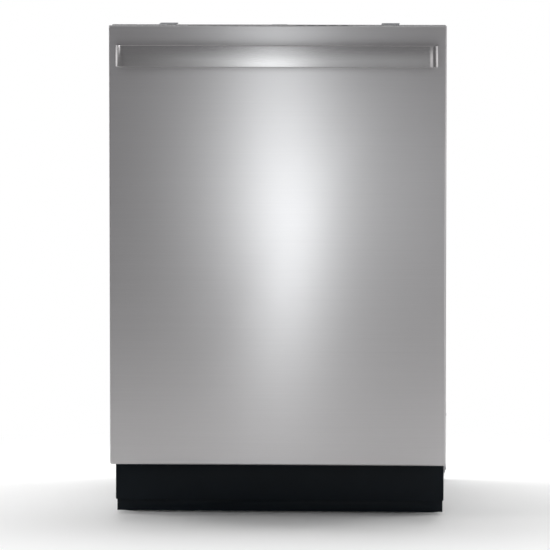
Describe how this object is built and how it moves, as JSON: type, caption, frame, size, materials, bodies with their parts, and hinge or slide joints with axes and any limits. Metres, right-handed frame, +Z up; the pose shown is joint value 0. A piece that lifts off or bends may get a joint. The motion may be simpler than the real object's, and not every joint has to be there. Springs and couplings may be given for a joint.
{
  "type": "built-in dishwasher",
  "caption": "Built-in dishwasher with a drop-down stainless door, flat bow handle, top-edge keys, sliding dish racks, spray arms and a recessed toe panel.",
  "frame": {"origin": "on the floor at the middle of the footprint, the handle's front included", "axes": "+Z up, -Y out of the door's front, +X to the right of someone facing the door"},
  "size_m": [0.605, 0.638, 0.889],
  "materials": {
    "door_steel": "fine horizontal brushed grain",
    "tub_steel": "bright rolled stainless",
    "zinc_steel": "zinc plated, satin",
    "toe_black": "satin black",
    "console_grey": "fine matt",
    "key_black": "matt",
    "display_dark": "gloss, dark tinted",
    "seal_rubber": "matt",
    "blanket_felt": "pressed felt",
    "rack_nylon": "smooth nylon coat",
    "spray_grey": "satin",
    "sump_grey": "satin",
    "pump_black": "satin",
    "cap_blue": "satin",
    "heater_steel": "dull, heat tinted"
  },
  "bodies": {
    "machine": {"tub": "tub_steel", "tub_insulation": "blanket_felt", "base_frame": "zinc_steel", "access_panel": "toe_black", "toe_panel": "toe_black", "door_gasket": "seal_rubber", "sump_housing": "sump_grey", "wash_motor": "zinc_steel", "drain_pump": "pump_black", "heating_element": "heater_steel", "filter_plate": "tub_steel", "water_inlet_valve": "spray_grey", "junction_box": "zinc_steel", "spray_feed_tube": "spray_grey", "latch_strike": "zinc_steel", "counter_bracket_left": "zinc_steel", "counter_bracket_right": "zinc_steel", "door_spring_left": "zinc_steel", "door_spring_right": "zinc_steel"},
    "door": {"door_outer_panel": "door_steel", "door_liner": "tub_steel", "control_console": "console_grey", "display_window": "display_dark", "door_handle": "door_steel", "hinge_arm_left": "zinc_steel", "hinge_arm_right": "zinc_steel", "dispenser_body": "spray_grey"},
    "latch": {"latch_pawl": "zinc_steel"},
    "detergent_lid": {"detergent_lid": "spray_grey"},
    "rinse_aid_cap": {"rinse_aid_cap": "cap_blue"},
    "float": {"float_cap": "spray_grey"},
    "filter": {"fine_filter": "spray_grey"},
    "lower_arm": {"lower_spray_arm": "spray_grey"},
    "upper_arm": {"upper_spray_arm": "spray_grey"},
    "track_left": {"upper_track_left": "tub_steel"},
    "track_right": {"upper_track_right": "tub_steel"},
    "upper_rack": {"upper_rack": "rack_nylon", "upper_manifold": "spray_grey"},
    "shelf_left": {"cup_shelf_left": "rack_nylon"},
    "shelf_right": {"cup_shelf_right": "rack_nylon"},
    "lower_rack": {"lower_rack": "rack_nylon"},
    "silverware_basket": {"silverware_basket": "rack_nylon"},
    "folding_tines": {"folding_tines": "rack_nylon"},
    "button_1": {"control_button_1": "key_black"},
    "button_2": {"control_button_2": "key_black"},
    "button_3": {"control_button_3": "key_black"},
    "button_4": {"control_button_4": "key_black"},
    "button_5": {"control_button_5": "key_black"},
    "leg_front_left": {"leveling_leg_front_left": "zinc_steel"},
    "roller_front_left": {"track_roller_front_left": "rack_nylon"},
    "wheel_front_left": {"rack_wheel_front_left": "rack_nylon"},
    "leg_front_right": {"leveling_leg_front_right": "zinc_steel"},
    "roller_front_right": {"track_roller_front_right": "rack_nylon"},
    "wheel_front_right": {"rack_wheel_front_right": "rack_nylon"},
    "leg_back_left": {"leveling_leg_back_left": "zinc_steel"},
    "roller_back_left": {"track_roller_back_left": "rack_nylon"},
    "wheel_back_left": {"rack_wheel_back_left": "rack_nylon"},
    "leg_back_right": {"leveling_leg_back_right": "zinc_steel"},
    "roller_back_right": {"track_roller_back_right": "rack_nylon"},
    "wheel_back_right": {"rack_wheel_back_right": "rack_nylon"}
  },
  "joints": [
    {"name": "door_hinge", "type": "hinge", "parent": "machine", "child": "door", "pos_m": [0, -0.245, 0.123], "axis": [1, 0, 0], "range_deg": [0, 90], "stiffness_Nm_per_rad": 25, "springref_deg": -3.44, "deforming": ["door_spring_left", "door_spring_right"]},
    {"name": "latch_pivot", "type": "hinge", "parent": "door", "child": "latch", "pos_m": [0, -0.232, 0.877], "axis": [1, 0, 0], "range_deg": [0, 6], "stiffness_Nm_per_rad": 0.5},
    {"name": "detergent_lid_slide", "type": "slide", "parent": "door", "child": "detergent_lid", "axis": [1, 0, 0], "range_m": [0, 0.066]},
    {"name": "rinse_aid_cap_turn", "type": "hinge", "parent": "door", "child": "rinse_aid_cap", "pos_m": [0.062, -0.2134, 0.47], "axis": [0, 1, 0], "range_deg": [0, 90]},
    {"name": "float_lift", "type": "slide", "parent": "machine", "child": "float", "axis": [0, 0, 1], "range_m": [0, 0.012]},
    {"name": "fine_filter_turn", "type": "hinge", "parent": "machine", "child": "filter", "pos_m": [0.072, 0.03, 0.13], "axis": [0, 0, 1], "range_deg": [0, 90]},
    {"name": "lower_spray_arm_spin", "type": "hinge", "parent": "machine", "child": "lower_arm", "pos_m": [0, 0.06, 0.164], "axis": [0, 0, 1], "continuous": true},
    {"name": "upper_rack_slide", "type": "slide", "parent": "machine", "child": "upper_rack", "axis": [0, -1, 0], "range_m": [0, 0.47]},
    {"name": "upper_track_left_slide", "type": "slide", "parent": "machine", "child": "track_left", "axis": [0, -1, 0], "range_m": [0, 0.235]},
    {"name": "upper_track_right_slide", "type": "slide", "parent": "machine", "child": "track_right", "axis": [0, -1, 0], "range_m": [0, 0.235]},
    {"name": "cup_shelf_left_fold", "type": "hinge", "parent": "upper_rack", "child": "shelf_left", "pos_m": [-0.2425, 0, 0.575], "axis": [0, -1, 0], "range_deg": [0, 85]},
    {"name": "cup_shelf_right_fold", "type": "hinge", "parent": "upper_rack", "child": "shelf_right", "pos_m": [0.2425, 0, 0.575], "axis": [0, 1, 0], "range_deg": [0, 85]},
    {"name": "upper_spray_arm_spin", "type": "hinge", "parent": "upper_rack", "child": "upper_arm", "pos_m": [0, 0.06, 0.441], "axis": [0, 0, 1], "continuous": true},
    {"name": "lower_rack_slide", "type": "slide", "parent": "machine", "child": "lower_rack", "axis": [0, -1, 0], "range_m": [0, 0.5]},
    {"name": "silverware_basket_lift", "type": "slide", "parent": "lower_rack", "child": "silverware_basket", "axis": [0, 0, 1], "range_m": [0, 0.1]},
    {"name": "folding_tines_fold", "type": "hinge", "parent": "lower_rack", "child": "folding_tines", "pos_m": [0.07, 0, 0.19299], "axis": [0, 1, 0], "range_deg": [0, 90]},
    {"name": "control_button_1_press", "type": "slide", "parent": "door", "child": "button_1", "axis": [0, 0, -1], "range_m": [0, 0.0008], "stiffness_N_per_m": 1500},
    {"name": "control_button_2_press", "type": "slide", "parent": "door", "child": "button_2", "axis": [0, 0, -1], "range_m": [0, 0.0008], "stiffness_N_per_m": 1500},
    {"name": "control_button_3_press", "type": "slide", "parent": "door", "child": "button_3", "axis": [0, 0, -1], "range_m": [0, 0.0008], "stiffness_N_per_m": 1500},
    {"name": "control_button_4_press", "type": "slide", "parent": "door", "child": "button_4", "axis": [0, 0, -1], "range_m": [0, 0.0008], "stiffness_N_per_m": 1500},
    {"name": "control_button_5_press", "type": "slide", "parent": "door", "child": "button_5", "axis": [0, 0, -1], "range_m": [0, 0.0008], "stiffness_N_per_m": 1500},
    {"name": "leveling_leg_front_left_screw", "type": "slide", "parent": "machine", "child": "leg_front_left", "axis": [0, 0, 1], "range_m": [-0.02, 0]},
    {"name": "track_roller_front_left_roll", "type": "hinge", "parent": "machine", "child": "roller_front_left", "pos_m": [-0.2747, -0.165, 0.56], "axis": [1, 0, 0], "continuous": true},
    {"name": "rack_wheel_front_left_roll", "type": "hinge", "parent": "lower_rack", "child": "wheel_front_left", "pos_m": [-0.2575, -0.062, 0.1673], "axis": [1, 0, 0], "continuous": true},
    {"name": "leveling_leg_front_right_screw", "type": "slide", "parent": "machine", "child": "leg_front_right", "axis": [0, 0, 1], "range_m": [-0.02, 0]},
    {"name": "track_roller_front_right_roll", "type": "hinge", "parent": "machine", "child": "roller_front_right", "pos_m": [0.2747, -0.165, 0.56], "axis": [1, 0, 0], "continuous": true},
    {"name": "rack_wheel_front_right_roll", "type": "hinge", "parent": "lower_rack", "child": "wheel_front_right", "pos_m": [0.2575, -0.062, 0.1673], "axis": [1, 0, 0], "continuous": true},
    {"name": "leveling_leg_back_left_screw", "type": "slide", "parent": "machine", "child": "leg_back_left", "axis": [0, 0, 1], "range_m": [-0.02, 0]},
    {"name": "track_roller_back_left_roll", "type": "hinge", "parent": "machine", "child": "roller_back_left", "pos_m": [-0.2747, -0.015, 0.56], "axis": [1, 0, 0], "continuous": true},
    {"name": "rack_wheel_back_left_roll", "type": "hinge", "parent": "lower_rack", "child": "wheel_back_left", "pos_m": [-0.2575, 0.2, 0.1673], "axis": [1, 0, 0], "continuous": true},
    {"name": "leveling_leg_back_right_screw", "type": "slide", "parent": "machine", "child": "leg_back_right", "axis": [0, 0, 1], "range_m": [-0.02, 0]},
    {"name": "track_roller_back_right_roll", "type": "hinge", "parent": "machine", "child": "roller_back_right", "pos_m": [0.2747, -0.015, 0.56], "axis": [1, 0, 0], "continuous": true},
    {"name": "rack_wheel_back_right_roll", "type": "hinge", "parent": "lower_rack", "child": "wheel_back_right", "pos_m": [0.2575, 0.2, 0.1673], "axis": [1, 0, 0], "continuous": true}
  ],
  "couplings": [
    {"joint": "upper_rack_slide", "follows": "door_hinge", "m_per_rad": 0.299},
    {"joint": "upper_track_left_slide", "follows": "door_hinge", "m_per_rad": 0.1495},
    {"joint": "upper_track_right_slide", "follows": "door_hinge", "m_per_rad": 0.1495},
    {"joint": "lower_rack_slide", "follows": "door_hinge", "m_per_rad": 0.12}
  ]
}
